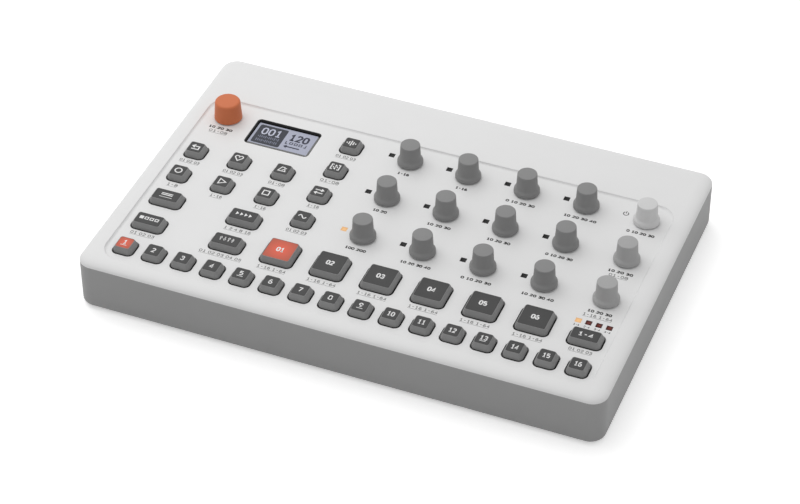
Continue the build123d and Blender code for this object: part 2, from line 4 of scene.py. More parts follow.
import bmesh
import bpy
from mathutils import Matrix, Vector


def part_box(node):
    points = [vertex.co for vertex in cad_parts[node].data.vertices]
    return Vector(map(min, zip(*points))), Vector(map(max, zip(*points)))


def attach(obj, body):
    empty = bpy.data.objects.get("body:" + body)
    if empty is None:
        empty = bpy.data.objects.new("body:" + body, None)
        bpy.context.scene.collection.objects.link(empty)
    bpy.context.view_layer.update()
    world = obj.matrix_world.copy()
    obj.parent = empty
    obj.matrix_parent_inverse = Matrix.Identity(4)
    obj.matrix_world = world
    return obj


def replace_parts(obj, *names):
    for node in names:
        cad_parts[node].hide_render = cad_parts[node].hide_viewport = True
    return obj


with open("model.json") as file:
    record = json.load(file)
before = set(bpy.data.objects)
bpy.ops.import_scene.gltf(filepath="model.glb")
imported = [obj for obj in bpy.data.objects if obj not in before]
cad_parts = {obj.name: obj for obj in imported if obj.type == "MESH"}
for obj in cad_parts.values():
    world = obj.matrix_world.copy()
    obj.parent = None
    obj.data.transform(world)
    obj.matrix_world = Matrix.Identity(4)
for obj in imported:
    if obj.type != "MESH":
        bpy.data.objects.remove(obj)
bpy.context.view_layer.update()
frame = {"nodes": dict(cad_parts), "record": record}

# Tabletop groovebox. Lengths are millimetres in the CAD frame:
# +X to the player's right, +Y to the back, +Z up.
MM = 0.001

# Photograph's camera
IMAGE_WIDTH = 800
SENSOR_WIDTH = 36.0
FOCAL_PIXELS = 2604.8
CAMERA_AZIMUTH = 21.82
CAMERA_ELEVATION = 40.53
CAMERA_TARGET = (3.92, -11.65, 16.1)
CAMERA_DISTANCE = 1285.2

# Light and floor
WORLD_LIGHT = 0.58
LAMP_PLACE = (-380.0, 260.0, 850.0)
LAMP_AIM = (0.0, 0.0, 0.0)
LAMP_SIZE = 1000.0
LAMP_POWER = 4.5
FLOOR_SIZE = 8000.0
FLOOR_COLOUR = 0.80
FLOOR_SHOWN = 1.0
FLOOR_LIFT = 0.40
FLOOR_ROUGHNESS = 0.9

# Mesh fineness
CORNER_STEPS = 8
TURN_STEPS = 72
SHARP_ANGLE = math.radians(32)
WELD = 1e-7

# Keys
FLANGE_OVERHANG = 1.2
FLANGE_DROP = 2.2
FLANGE_THICKNESS = 1.2
KEY_RADIUS = 2.6
KEY_TOP_RADIUS = 1.1
KEY_TAPER = 1.3
KEY_LEAN = 0.3
KEY_BULGE = 0.2
SKIRT_INSET = 0.2
KEY_TOP_EDGE = 0.22
EDGE_STEPS = 4
SIDE_STEPS = 4
WINDOW_BORDER = 0.2
WINDOW_DEPTH = 0.5
WINDOW_GAP = 0.05
WINDOW_SINK = 0.02
WINDOW_BEVEL = 0.05
LEGEND_INK = 0.03
# Dark rubber sleeves below the keys: partly a rubber keypad, partly painted shade that darkens the gaps
# round the keys
SHADE_BOOT_GAP = 0.02
SHADE_BOOT_SINK = 0.05
SHADE_BOOT_DROP = 0.8
STEP_FIGURE_HEIGHT = 3.1
STEP_FIGURE_WEIGHT = 0.54
STEP_FIGURE_LENGTHS = (2.05, 3.8)
BEAT_STEPS = 4
BEAT_FIGURE_RISE = 0.45
BEAT_LINE = ((-1.6, -1.75), (1.6, -1.75))
BEAT_LINE_WEIGHT = 0.34
PAD_FIGURE_HEIGHT = 3.2
PAD_FIGURE_WEIGHT = 0.66
PAD_FIGURE_LENGTH = 4.1
SIGN_WEIGHT = 0.62
STEP_KEYS = 16
PADS = 6

# Knobs
KNOB_GAP = 0.5
KNOB_TOP_RADIUS = 5.0
KNOB_NECK_RADIUS = 5.4
KNOB_NECK_HEIGHT = 4.4
KNOB_SKIRT_HEIGHT = 1.9
KNOB_FLARE_LOW = 2.9
KNOB_FLARE_HIGH = 3.1
KNOB_FLARE_LEAN = 0.06
KNOB_TOP_EDGE = 0.45
KNOB_FOOT_EDGE = 0.25
DATA_KNOB_TOP_RADIUS = 6.6
DATA_KNOB_TOP_EDGE = 1.3
SHAFT_RADIUS = 3.0
FLARE_STEPS = 8
CROWN_STEPS = 6
KNOB_ROWS = 3
KNOB_COLUMNS = 4

# Indicator lights, placed from the knob or the page key that they belong to
LIGHT_WIDTH = 3.0
LIGHT_RADIUS = 0.3
# Growth of the outline and depth below the panel, from a light's foot to its middle
LIGHT_PROFILE = ((0.0, 2.0), (0.0, 0.06), (-0.16, 0.0), (-0.8, 0.03), (-1.2, 0.1))
LIGHT_OFFSET = (-10.95, 2.4)
PAGE_LIGHT_RISE = 11.9
PAGE_LIGHT_PITCH = 5.13
PAGE_LIGHTS = 4

# Display window and what it shows, from the middle of the window
DISPLAY_SIZE = (35.7, 20.9)
DISPLAY_RADIUS = 2.2
DISPLAY_GLASS = 1.0
DISPLAY_LINER = 0.35
DISPLAY_LINER_SINK = 0.12
DISPLAY_LINER_GAP = 0.02
FIELD_MIDDLE = (-0.35, 0.8)
FIELD_SIZE = (32.7, 16.7)
FIELD_RADIUS = 0.2
BLOCK_MIDDLE = (-7.7, 0.6)
BLOCK_SIZE = (15.6, 14.9)
BLOCK_RADIUS = 0.9
DISPLAY_LAYER = 0.02
FIGURE_HEIGHT = 5.5
LEFT_FIGURE_WEIGHT = 0.8
RIGHT_FIGURE_WEIGHT = 1.05
LEFT_FIGURES = (-7.7, 3.5)
RIGHT_FIGURES = (7.7, 3.5)
FIGURE_WIDTH = 10.8
BARS = 12
BARS_LEFT = -13.2
BAR_ROWS = ((-1.2, 0.0), (-4.2, 2.0))
BAR_RHYTHM = 1.9
BAR_HALF = 0.35
BAR_SWING = 0.75
BAR_WEIGHT = 0.5
BRACKET_REACH = 5.5
BRACKET_TOP = -0.2
BRACKET_FOOT = -2.2
BRACKET_TOE = 1.1
BRACKET_WEIGHT = 0.5
BOXES = 3
BOX_PITCH = 2.6
BOX_RISE = -1.2
BOX_SIDE = 1.5
BOX_WEIGHT = 0.45
SLIDER_PLACE = (2.0, -4.3)
SLIDER_HEAD = 1.7
SLIDER_LINE = (1.6, 8.8)
SLIDER_WEIGHT = 0.85

# Printing on the panel
PRINT_INK = 0.03
CAPTION_HEIGHT = 1.85
CAPTION_WEIGHT = 0.52
GREY_CAPTION_WEIGHT = 0.32
UNDERLINE_DROP = 1.5
UNDERLINE_WEIGHT = 0.16
KEY_CAPTION_DROP = 8.0
PAD_CAPTION_DROP = 11.3
KNOB_CAPTION_DROP = 9.7
SECOND_LINE_DROP = 12.75
PAD_CAPTION_LENGTH = 15.0
PAGE_CAPTION_DROP = 3.2
PAGE_CAPTION_HEIGHT = 1.4
PAGE_CAPTION_WEIGHT = 0.3
PAGE_CAPTION_LENGTH = 3.0
POWER_MARK = (102.2, 43.8)
POWER_MARK_RADIUS = 1.3
POWER_MARK_WEIGHT = 0.42
POWER_MARK_ARC = (125, 415)
POWER_MARK_BAR = (0.2, 1.8)
POWER_MARK_STEPS = 24

# Rear sockets, feet and screws
SLEEVE_WALL = 0.25
SLEEVE_GAP = 0.04
SLEEVE_SINK = 0.6
SLEEVE_DEPTH = 9.0
BUSH_PROUD = 0.15
BUSH_SINK = 0.05
BUSH_GAP = 0.02
BUSH_WALL = 1.1
DC_WIDTH = 9.0
DC_HEIGHT = 10.0
DC_PIN_RADIUS = 1.1
DC_PIN_LENGTH = 8.6
DC_PIN_TIP = ((1.0, 0.9), (0.8, 0.45), (0.4, 0.25))
DC_BORE_RADIUS = 2.9
DC_RING_WALL = 0.5
USB_SIZE = (9.0, 3.4)
USB_RADIUS = 1.0
USB_GAP = 20.0
USB_SHELL = 0.4
USB_SHELL_SINK = 0.1
USB_SHELL_PROUD = 0.08
USB_TONGUE = 0.7
USB_CONTACTS = 4
USB_CONTACT_PITCH = 1.3
USB_CONTACT_SIZE = (0.6, 0.06)
USB_CONTACT_DEPTHS = (6.0, 1.4)
FOOT_RADIUS = 6.0
FOOT_INSET = (22.0, 20.0)
FOOT_TOP = 2.3
FOOT_EDGE = 0.4
FOOT_EDGE_STEPS = 5
FOOT_RING = (3.6, 4.4)
FOOT_RING_SLOPE = 0.1
FOOT_RING_DEPTH = 0.3
FOOT_MIDDLE = 0.6
SCREW_INSET = (10.0, 7.5)
SCREW_HEAD_RADIUS = 2.7
SCREW_HEAD_HEIGHT = 1.2
SCREW_HEAD_EDGE = 0.3
SCREW_RECESS = 0.3
SCREW_KEY_RADIUS = 1.2
SCREW_KEY_DEPTH = 0.8
SCREW_RADIUS = 1.5
SCREW_LENGTH = 20.0


def node_box(node):
    """Lowest and highest corner of a CAD node at rest."""
    low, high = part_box(node)
    return low / MM, high / MM


def node_middle(node):
    """Middle of a CAD node in plan."""
    low, high = node_box(node)
    return (low.x + high.x) / 2, (low.y + high.y) / 2


panel_z = node_box("indicator_lights")[1].z
case_low, case_high = node_box("bottom_case")

step_keys = [f"step_key_{number + 1:02d}" for number in range(STEP_KEYS)]
pads = [f"pad_{number + 1}" for number in range(PADS)]
parameter_knobs = [
    f"parameter_knob_{row + 1}{column + 1}" for row in range(KNOB_ROWS) for column in range(KNOB_COLUMNS)
]


class Shape:
    """Points and faces of one piece."""

    def __init__(self):
        self.points = []
        self.faces = []

    def loft(self, loops, closed_ends=True):
        """Skin over loops of equal count; closed ends get a face each."""
        start = len(self.points)
        count = len(loops[0])
        for loop in loops:
            self.points.extend(loop)
        for low in range(start, start + count * (len(loops) - 1), count):
            for i in range(count):
                j = (i + 1) % count
                self.faces.append((low + i, low + j, low + count + j, low + count + i))
        if closed_ends:
            end = len(self.points)
            self.faces.append(tuple(reversed(range(start, start + count))))
            self.faces.append(tuple(range(end - count, end)))

    def slab(self, outline, low, high):
        """Flat piece with an outline of (x, y) points."""
        self.loft([[(x, y, z) for x, y in outline] for z in (low, high)])

    def stroke(self, path, width, low, high, closed=False):
        """Flat ribbon with mitred corners along (x, y) points."""
        points = [Vector(point) for point in path]
        count = len(points)
        sections = []
        for i, point in enumerate(points):
            inner_end = closed or i < count - 1
            ahead = (points[(i + 1) % count] - point) if inner_end else (point - points[i - 1])
            behind = (point - points[i - 1]) if closed or i > 0 else ahead
            ahead = ahead.normalized()
            side = (ahead + behind.normalized()).normalized().orthogonal()
            reach = side * width / 2 / max(side.dot(ahead.orthogonal()), 0.5)
            left = point + reach
            right = point - reach
            sections.append([(*left, low), (*right, low), (*right, high), (*left, high)])
        if closed:
            sections.append(sections[0])
        self.loft(sections, closed_ends=not closed)

    def add(self, name, material, body, slot):
        """Makes the piece, on a body; its slot is not used."""
        mesh = bpy.data.meshes.new(name)
        mesh.from_pydata([Vector(point) * MM for point in self.points], [], self.faces)
        work = bmesh.new()
        work.from_mesh(mesh)
        bmesh.ops.remove_doubles(work, verts=work.verts, dist=WELD)
        bmesh.ops.recalc_face_normals(work, faces=work.faces)
        work.to_mesh(mesh)
        work.free()
        mesh.materials.append(material)
        mesh.polygons.foreach_set("use_smooth", [True] * len(mesh.polygons))
        mesh.set_sharp_from_angle(angle=SHARP_ANGLE)
        piece = bpy.data.objects.new(name, mesh)
        bpy.context.scene.collection.objects.link(piece)
        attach(piece, body)
        return piece


def rounded_loop(length, width, radius, x, y, z):
    """Rectangle with rounded corners."""
    points = []
    for quarter in range(4):
        corner_x = x + (length / 2 - radius) * (1 if quarter in (0, 3) else -1)
        corner_y = y + (width / 2 - radius) * (1 if quarter in (0, 1) else -1)
        for step in range(CORNER_STEPS + 1):
            angle = math.radians(90) * (quarter + step / CORNER_STEPS)
            points.append((corner_x + radius * math.cos(angle), corner_y + radius * math.sin(angle), z))
    return points


def rounded_outline(length, width, radius, x, y):
    """Rounded rectangle as (x, y) points."""
    return [point[:2] for point in rounded_loop(length, width, radius, x, y, 0.0)]


def ring_loop(radius, x, y, z, sides=0):
    """Circle, or a regular polygon with as many points as the circle."""
    points = []
    for step in range(TURN_STEPS):
        angle = 2 * math.pi * step / TURN_STEPS
        reach = radius
        if sides:
            half = math.pi / sides
            reach = radius * math.cos(half) / math.cos((angle % (2 * half)) - half)
        points.append((x + reach * math.cos(angle), y + reach * math.sin(angle), z))
    return points


def turned(profile, x, y):
    """Loops of a turned form from (radius, level) points."""
    return [ring_loop(radius, x, y, z) for radius, z in profile]


def turned_back(profile, x, z):
    """Loops of a turned form about an axis along Y from (radius, depth) points."""
    return [[(px, depth, pz) for px, pz, _ in ring_loop(radius, x, z, 0.0)] for radius, depth in profile]


def arc(middle, radius, start, end, steps):
    """Arc of (x, y) points between two angles in degrees."""
    points = []
    for step in range(steps + 1):
        angle = math.radians(start + (end - start) * step / steps)
        points.append((middle[0] + radius * math.cos(angle), middle[1] + radius * math.sin(angle)))
    return points


def bowl(left, right, low, high, cut_x=0.18, cut_y=0.18):
    """Closed stroke of a numeral: a box with its corners cut off."""
    points = [
        (left + cut_x, low), (right - cut_x, low), (right, low + cut_y), (right, high - cut_y),
        (right - cut_x, high), (left + cut_x, high), (left, high - cut_y), (left, low + cut_y),
    ]
    return True, points


# Numerals as strokes in a box of height 1: (closed, points) for each stroke
GLYPH_WIDTH = 0.64
GLYPH_SPACE = 0.34
WORD_SPACE = 0.5
GLYPHS = {
    "0": [bowl(0, 0.64, 0, 1, cut_y=0.2)],
    "1": [(False, [(0.06, 0.78), (0.36, 1), (0.36, 0)]), (False, [(0.08, 0), (0.64, 0)])],
    "2": [(False, [(0, 0.8), (0.18, 1), (0.46, 1), (0.64, 0.82), (0.64, 0.62), (0, 0), (0.64, 0)])],
    "3": [
        (False, [(0, 0.86), (0.16, 1), (0.48, 1), (0.62, 0.86), (0.62, 0.66), (0.48, 0.54), (0.2, 0.54)]),
        (False, [(0.44, 0.54), (0.64, 0.38), (0.64, 0.16), (0.48, 0), (0.16, 0), (0, 0.14)]),
    ],
    "4": [(False, [(0.48, 0), (0.48, 1), (0, 0.26), (0.68, 0.26)])],
    "5": [
        (False, [
            (0.6, 1), (0.05, 1), (0.03, 0.56), (0.46, 0.6),
            (0.64, 0.44), (0.64, 0.18), (0.46, 0), (0, 0.06),
        ]),
    ],
    "6": [bowl(0, 0.64, 0, 0.58), (False, [(0, 0.4), (0.06, 0.74), (0.26, 1), (0.56, 1)])],
    "7": [(False, [(0, 1), (0.64, 1), (0.24, 0)])],
    "8": [
        bowl(-0.04, 0.68, 0, 0.52, cut_y=0.16),
        (True, [
            (0.14, 0.52), (0.5, 0.52), (0.62, 0.66), (0.62, 0.88),
            (0.48, 1), (0.16, 1), (0.02, 0.88), (0.02, 0.66),
        ]),
    ],
    "9": [bowl(0, 0.64, 0.42, 1), (False, [(0.62, 0.6), (0.54, 0.3), (0.24, 0)])],
    "-": [(False, [(0.12, 0.5), (0.52, 0.5)])],
}


def text_length(text):
    """Natural length of a line of numerals in heights."""
    marks = sum(1 for mark in text if mark != " ")
    return marks * (GLYPH_WIDTH + GLYPH_SPACE) - GLYPH_SPACE + (len(text) - marks) * WORD_SPACE


def write_line(shape, text, x, y, height, weight, low, high, length=0.0):
    """Numerals centred on (x, y), stretched to a length if one is given."""
    natural = text_length(text) * height
    stretch = (length - weight) / natural if length else 1.0
    pen = x - natural * stretch / 2
    for mark in text:
        for closed, points in GLYPHS.get(mark, ()):
            path = [(pen + px * height * stretch, y + (py - 0.5) * (height - weight)) for px, py in points]
            shape.stroke(path, weight, low, high, closed)
        pen += height * stretch * (WORD_SPACE if mark == " " else GLYPH_WIDTH + GLYPH_SPACE)


def best_line(options, length, height):
    """The line of numerals whose natural length is nearest to a length."""
    return min(options, key=lambda text: abs(text_length(text) * height - length))


# Materials

# Part of a noise's range that is used
NOISE_LOW = 0.3
NOISE_HIGH = 0.7
# Features of the finishes
FLOW_SIZE = 18.0
DOT_SIZE = 0.26
TRACE_SIZE = 5.0
ROUGHNESS_SPREAD = 0.06


def linear(value):
    """Linear level of an 8-bit screen level."""
    share = value / 255
    return share / 12.92 if share <= 0.04045 else ((share + 0.055) / 1.055) ** 2.4


def screen(red, green, blue):
    """Linear colour of an 8-bit screen colour, with full alpha."""
    return linear(red), linear(green), linear(blue), 1.0


def grey(level):
    """Linear colour of an 8-bit screen grey."""
    return screen(level, level, level)


def tint(colour, share):
    """A colour made lighter or darker by a share."""
    return (*(min(channel * share, 1.0) for channel in colour[:3]), 1.0)


class Finish:
    """A node material under construction around its Principled shader."""

    def __init__(self, name):
        self.material = bpy.data.materials.new(name)
        self.material.use_nodes = True
        self.tree = self.material.node_tree
        self.shader = self.tree.nodes["Principled BSDF"]
        self.places = self.node("TexCoord").outputs

    def node(self, kind, inputs=(), **settings):
        """Adds a node; an input is a value or another node's socket."""
        node = self.tree.nodes.new("ShaderNode" + kind)
        for key, value in settings.items():
            setattr(node, key, value)
        for key, value in dict(inputs).items():
            self.put(node, key, value)
        return node

    def put(self, node, key, value):
        """Sets or links one input."""
        if isinstance(value, bpy.types.NodeSocket):
            self.tree.links.new(value, node.inputs[key])
        else:
            node.inputs[key].default_value = value

    def set(self, **inputs):
        """Inputs of the shader, with underscores for spaces."""
        for key, value in inputs.items():
            self.put(self.shader, key.replace("_", " "), value)

    def noise(self, size, detail=2.0, stretch=None):
        """Noise with features of about a size."""
        place = self.places["Object"]
        if stretch:
            place = self.node("Mapping", {"Vector": place, "Scale": stretch}).outputs["Vector"]
        inputs = {"Vector": place, "Scale": 1 / (size * MM), "Detail": detail}
        return self.node("TexNoise", inputs).outputs["Fac"]

    def ramp(self, level, low_colour, high_colour, low=NOISE_LOW, high=NOISE_HIGH):
        """Colour between two colours, by a level."""
        node = self.node("ValToRGB", {"Fac": level})
        for element, place, colour in zip(node.color_ramp.elements, (low, high), (low_colour, high_colour)):
            element.position = place
            element.color = colour
        return node.outputs["Color"]

    def spread(self, level, low, high):
        """Number between two numbers, by a noise level."""
        inputs = {"From Min": NOISE_LOW, "From Max": NOISE_HIGH, "To Min": low, "To Max": high}
        return self.node("MapRange", {"Value": level, **inputs}).outputs["Result"]

    def bump(self, height, depth, strength):
        """Bump of a depth, on the shader's normal."""
        inputs = {"Height": height, "Distance": depth * MM, "Strength": strength}
        self.set(Normal=self.node("Bump", inputs).outputs["Normal"])

    def middle_out(self, reach=0.5):
        """Level that is 0 in the middle of a piece and 1 at its sides, in plan."""
        middle = (0.5, 0.5, 0.0)
        shifted = self.node("VectorMath", {0: self.places["Generated"], 1: middle}, operation="SUBTRACT")
        flat = self.node("VectorMath", {0: shifted.outputs[0], 1: (1.0, 1.0, 0.0)}, operation="MULTIPLY")
        distance = self.node("VectorMath", {0: flat.outputs[0]}, operation="LENGTH")
        inputs = {"Value": distance.outputs["Value"], "From Max": reach}
        return self.node("MapRange", inputs).outputs["Result"]


def moulded(name, colour, roughness=0.5, mottle=0.012, texture=0.35, depth=0.012):
    """Moulded plastic: faint flow mottling over a fine spark-eroded texture."""
    finish = Finish(name)
    flow = finish.noise(FLOW_SIZE, detail=3.0)
    grain = finish.noise(texture, detail=3.0)
    finish.set(
        Base_Color=finish.ramp(flow, tint(colour, 1 - mottle), tint(colour, 1 + mottle)),
        Roughness=finish.spread(grain, roughness - ROUGHNESS_SPREAD, roughness + ROUGHNESS_SPREAD),
        Specular_IOR_Level=0.3,
    )
    finish.bump(grain, depth, 0.35)
    return finish.material


def smoked_window():
    """Translucent grey cap window: a little darker towards its sides."""
    finish = Finish("key_window_smoked")
    smoke = grey(68)
    grain = finish.noise(0.3)
    finish.set(
        Base_Color=finish.ramp(finish.middle_out(0.75), tint(smoke, 1.06), tint(smoke, 0.92), 0.2, 1.0),
        Roughness=finish.spread(grain, 0.46, 0.54),
        Specular_IOR_Level=0.2,
    )
    finish.bump(grain, 0.006, 0.3)
    return finish.material


def lit_window():
    """Window with its red light on: brightest in the middle."""
    finish = Finish("key_window_lit")
    glow = finish.ramp(finish.middle_out(0.7), screen(214, 100, 80), screen(154, 90, 74), 0.0, 1.0)
    finish.set(
        Base_Color=finish.ramp(finish.noise(0.3), screen(84, 20, 13), screen(90, 23, 15)),
        Roughness=0.5,
        Specular_IOR_Level=0.15,
        Emission_Color=glow,
        Emission_Strength=1.0,
    )
    return finish.material


def lens(name, middle, side, glow=None):
    """Small light window: its own colour in the middle, darker at the sides, and a glow if it is on."""
    finish = Finish(name)
    place = finish.middle_out(0.6)
    finish.set(
        Base_Color=finish.ramp(place, middle, side, 0.15, 0.95),
        Roughness=finish.spread(finish.noise(0.4), 0.22, 0.32),
        Specular_IOR_Level=0.15,
    )
    if glow:
        finish.set(Emission_Color=finish.ramp(place, glow, tint(glow, 0.88)), Emission_Strength=1.0)
    return finish.material


def display_field(name, colour, glow):
    """Dot display: rows and columns of dots with faint gaps, lit from behind."""
    finish = Finish(name)
    dots = finish.node(
        "TexBrick",
        {
            "Vector": finish.places["Object"],
            "Color1": colour,
            "Color2": tint(colour, 0.97),
            "Mortar": tint(colour, 0.82),
            "Scale": 1 / (DOT_SIZE * MM),
            "Mortar Size": 0.08,
            "Brick Width": 1.0,
            "Row Height": 1.0,
        },
        offset=0.0,
    ).outputs["Color"]
    finish.set(
        Base_Color=dots, Roughness=0.3, Specular_IOR_Level=0.15, Emission_Color=dots, Emission_Strength=glow
    )
    return finish.material


def gloss_black(name):
    """Glossy black display glass with a trace of dust in its roughness."""
    finish = Finish(name)
    dust = finish.noise(6.0, detail=4.0)
    finish.set(
        Base_Color=finish.ramp(dust, grey(14), grey(20)),
        Roughness=finish.spread(dust, 0.10, 0.18),
        Coat_Weight=0.3,
    )
    return finish.material


def ink(name, colour):
    """Screen-printed ink with a slightly uneven coat."""
    finish = Finish(name)
    coat = finish.noise(0.8, detail=3.0)
    finish.set(
        Base_Color=finish.ramp(coat, tint(colour, 0.93), tint(colour, 1.07)),
        Roughness=finish.spread(coat, 0.5, 0.65),
    )
    return finish.material


def metal(name, colour, roughness):
    """Turned metal with fine rings."""
    finish = Finish(name)
    rings = finish.noise(0.5, detail=2.0, stretch=(0.15, 4.0, 4.0))
    finish.set(
        Base_Color=finish.ramp(rings, tint(colour, 0.9), tint(colour, 1.08)),
        Metallic=1.0,
        Roughness=finish.spread(rings, roughness - 0.08, roughness + 0.08),
    )
    finish.bump(rings, 0.006, 0.3)
    return finish.material


def rubber():
    """Soft matte rubber with a coarse moulded skin."""
    finish = Finish("foot_rubber_black")
    skin = finish.noise(0.5, detail=4.0)
    finish.set(
        Base_Color=finish.ramp(skin, grey(36), grey(46)),
        Roughness=finish.spread(skin, 0.78, 0.9),
        Specular_IOR_Level=0.3,
    )
    finish.bump(skin, 0.03, 0.5)
    return finish.material


def circuit_green():
    """Solder mask over copper traces."""
    finish = Finish("circuit_board_green")
    inputs = {"Vector": finish.places["Object"], "Scale": 1 / (TRACE_SIZE * MM)}
    cells = finish.node("TexVoronoi", inputs, distance="CHEBYCHEV")
    mask = finish.ramp(cells.outputs["Distance"], screen(24, 82, 50), screen(16, 60, 36))
    finish.set(Base_Color=mask, Roughness=finish.spread(finish.noise(1.0), 0.3, 0.42), Coat_Weight=0.2)
    return finish.material


cover_white = moulded("cover_white_plastic", grey(231), roughness=0.48, mottle=0.006)
case_grey = moulded("case_grey_plastic", grey(156), roughness=0.55)
key_grey = moulded("key_grey_plastic", grey(138), roughness=0.5)
window_dark = smoked_window()
window_red = lit_window()
knob_finishes = {
    "knob_dark": moulded("knob_dark_plastic", grey(136), roughness=0.55),
    "knob_mid": moulded("knob_mid_plastic", grey(168), roughness=0.55),
    "knob_light": moulded("knob_light_plastic", grey(211), roughness=0.55),
    "knob_orange": moulded("knob_orange_plastic", screen(206, 115, 74), roughness=0.55, mottle=0.02),
}
light_off = lens("light_off", grey(12), grey(2))
light_standby = lens("light_standby", screen(116, 50, 40), screen(52, 20, 16))
light_amber = lens("light_amber", screen(120, 80, 40), screen(110, 70, 34), glow=screen(220, 178, 128))
display_black = gloss_black("display_glass_black")
liner_grey = moulded("display_liner_plastic", grey(50), roughness=0.5)
display_light = display_field("display_dots_clear", screen(150, 153, 168), 0.42)
display_dark = display_field("display_dots_dark", screen(50, 53, 62), 0.18)
display_ink = display_field("display_dots_navy", screen(44, 46, 62), 0.1)
display_mark = display_field("display_dots_bright", screen(168, 171, 186), 0.45)
display_faint = display_field("display_dots_faint", screen(108, 112, 128), 0.3)
ink_dark = ink("print_dark", grey(36))
ink_grey = ink("print_grey", grey(112))
ink_white = ink("print_white", grey(232))
socket_black = moulded("socket_black_plastic", grey(38), roughness=0.42)
plate_metal = metal("plated_metal", grey(200), 0.28)
contact_gold = metal("contact_gold", screen(220, 180, 96), 0.25)
screw_steel = metal("screw_black_steel", grey(70), 0.4)
foot_black = rubber()
board_green = circuit_green()


# Carried-over CAD nodes


def dress(node, material):
    """Gives a shown CAD node its material."""
    slots = frame["nodes"][node].data.materials
    slots.clear()
    slots.append(material)


dress("top_cover", cover_white)
dress("bottom_case", case_grey)
dress("circuit_board", board_green)
dress("rear_sockets", socket_black)


# Keys


def key_lean(node):
    """How much further in the right edge of a key's top is; the pads are even."""
    return 0.0 if node in pads else KEY_LEAN


def key_plan(node):
    """Middle, length and width of a key inside its flange."""
    low, high = node_box(node)
    return (*node_middle(node), high.x - low.x - 2 * FLANGE_OVERHANG, high.y - low.y - 2 * FLANGE_OVERHANG)


def make_key_cap(node):
    """Tapered cap with full sides, a softened top edge and a pocket for its window."""
    x, y, length, width = key_plan(node)
    top = node_box(node)[1].z
    height = top - panel_z
    flange_top = panel_z - FLANGE_DROP
    flange_radius = KEY_RADIUS + FLANGE_OVERHANG
    skirt_radius = KEY_RADIUS - SKIRT_INSET

    def loop(grow, radius, z):
        """Outline of the key at a level, with the lean of its right side."""
        share = (z - panel_z) / (height - WINDOW_DEPTH)
        shift = key_lean(node) * min(max(share, 0.0), 1.0)
        return rounded_loop(length + grow - shift, width + grow, radius, x - shift / 2, y, z)

    levels = [
        (2 * FLANGE_OVERHANG, flange_radius, flange_top - FLANGE_THICKNESS),
        (2 * FLANGE_OVERHANG, flange_radius, flange_top),
        (-2 * SKIRT_INSET, skirt_radius, flange_top),
        (-2 * SKIRT_INSET, skirt_radius, panel_z),
    ]
    slope = 1 - KEY_TOP_EDGE / height
    edge_radius = skirt_radius + (KEY_TOP_RADIUS - skirt_radius) * slope
    edge_inset = SKIRT_INSET + (KEY_TAPER - SKIRT_INSET) * slope
    for step in range(1, SIDE_STEPS):
        share = step / SIDE_STEPS
        inset = SKIRT_INSET + (edge_inset - SKIRT_INSET) * share - KEY_BULGE * math.sin(math.pi * share)
        radius = skirt_radius + (edge_radius - skirt_radius) * share
        levels.append((-2 * inset, radius, panel_z + (height - KEY_TOP_EDGE) * share))
    for step in range(EDGE_STEPS + 1):
        angle = math.radians(90) * step / EDGE_STEPS
        inset = edge_inset + KEY_TOP_EDGE * (1 - math.cos(angle))
        z = top - KEY_TOP_EDGE * (1 - math.sin(angle))
        levels.append((-2 * inset, edge_radius - KEY_TOP_EDGE * (1 - math.cos(angle)), z))
    pocket = -2 * (KEY_TAPER + WINDOW_BORDER)
    pocket_radius = KEY_TOP_RADIUS - WINDOW_BORDER
    levels.append((pocket, pocket_radius, top))
    levels.append((pocket, pocket_radius, top - WINDOW_DEPTH))
    cap = Shape()
    cap.loft([loop(*level) for level in levels])
    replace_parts(cap.add(node + "_cap", key_grey, node, "key_grey"), node)
    window_top = top - WINDOW_SINK
    window_levels = [
        (pocket - 2 * WINDOW_GAP, top - WINDOW_DEPTH),
        (pocket - 2 * WINDOW_GAP, window_top - WINDOW_BEVEL),
        (pocket - 2 * (WINDOW_GAP + WINDOW_BEVEL), window_top),
    ]
    window = Shape()
    window.loft([loop(grow, pocket_radius - WINDOW_GAP, z) for grow, z in window_levels])
    lit = node in (step_keys[0], pads[0])
    window.add(node + "_window", window_red if lit else window_dark, node, "key_grey")


def make_shade_boot(node):
    """Thin dark rubber sleeve round the skirt of one key, sloping away below the panel; its dark rubber is
    partly a keypad and partly painted shade in the gap round the key.
    """
    x, y, length, width = key_plan(node)
    top = panel_z - SHADE_BOOT_SINK
    shoulder = panel_z - SHADE_BOOT_DROP
    bottom = panel_z - FLANGE_DROP
    inner = SHADE_BOOT_GAP - SKIRT_INSET
    loops = []
    for grow, z in ((inner, bottom), (0.0, bottom), (0.0, shoulder), (inner, top), (inner, bottom)):
        loops.append(rounded_loop(length + 2 * grow, width + 2 * grow, KEY_RADIUS + grow, x, y, z))
    shade_boot = Shape()
    shade_boot.loft(loops, closed_ends=False)
    shade_boot.add(node + "_boot", foot_black, node, "foot_rubber")


class Legend(Shape):
    """White marks on the window of one key, drawn from the middle of the key."""

    def __init__(self, node):
        super().__init__()
        self.node = node
        self.x, self.y = node_middle(node)
        self.x -= key_lean(node) / 2
        self.low = node_box(node)[1].z - WINDOW_SINK
        self.high = self.low + LEGEND_INK

    def line(self, path, width=SIGN_WEIGHT, closed=False):
        """One stroke."""
        self.stroke([(self.x + x, self.y + y) for x, y in path], width, self.low, self.high, closed)

    def fill(self, outline):
        """One filled outline."""
        self.slab([(self.x + x, self.y + y) for x, y in outline], self.low, self.high)

    def figures(self, text, height, weight, length, rise=0.0):
        """Numerals of a length."""
        write_line(self, text, self.x, self.y + rise, height, weight, self.low, self.high, length)

    def done(self):
        """Makes the piece."""
        self.add(self.node + "_legend", ink_white, self.node, "key_grey")


def square(side, x=0.0, y=0.0):
    """Corners of a square."""
    half = side / 2
    return [(x - half, y - half), (x + half, y - half), (x + half, y + half), (x - half, y + half)]


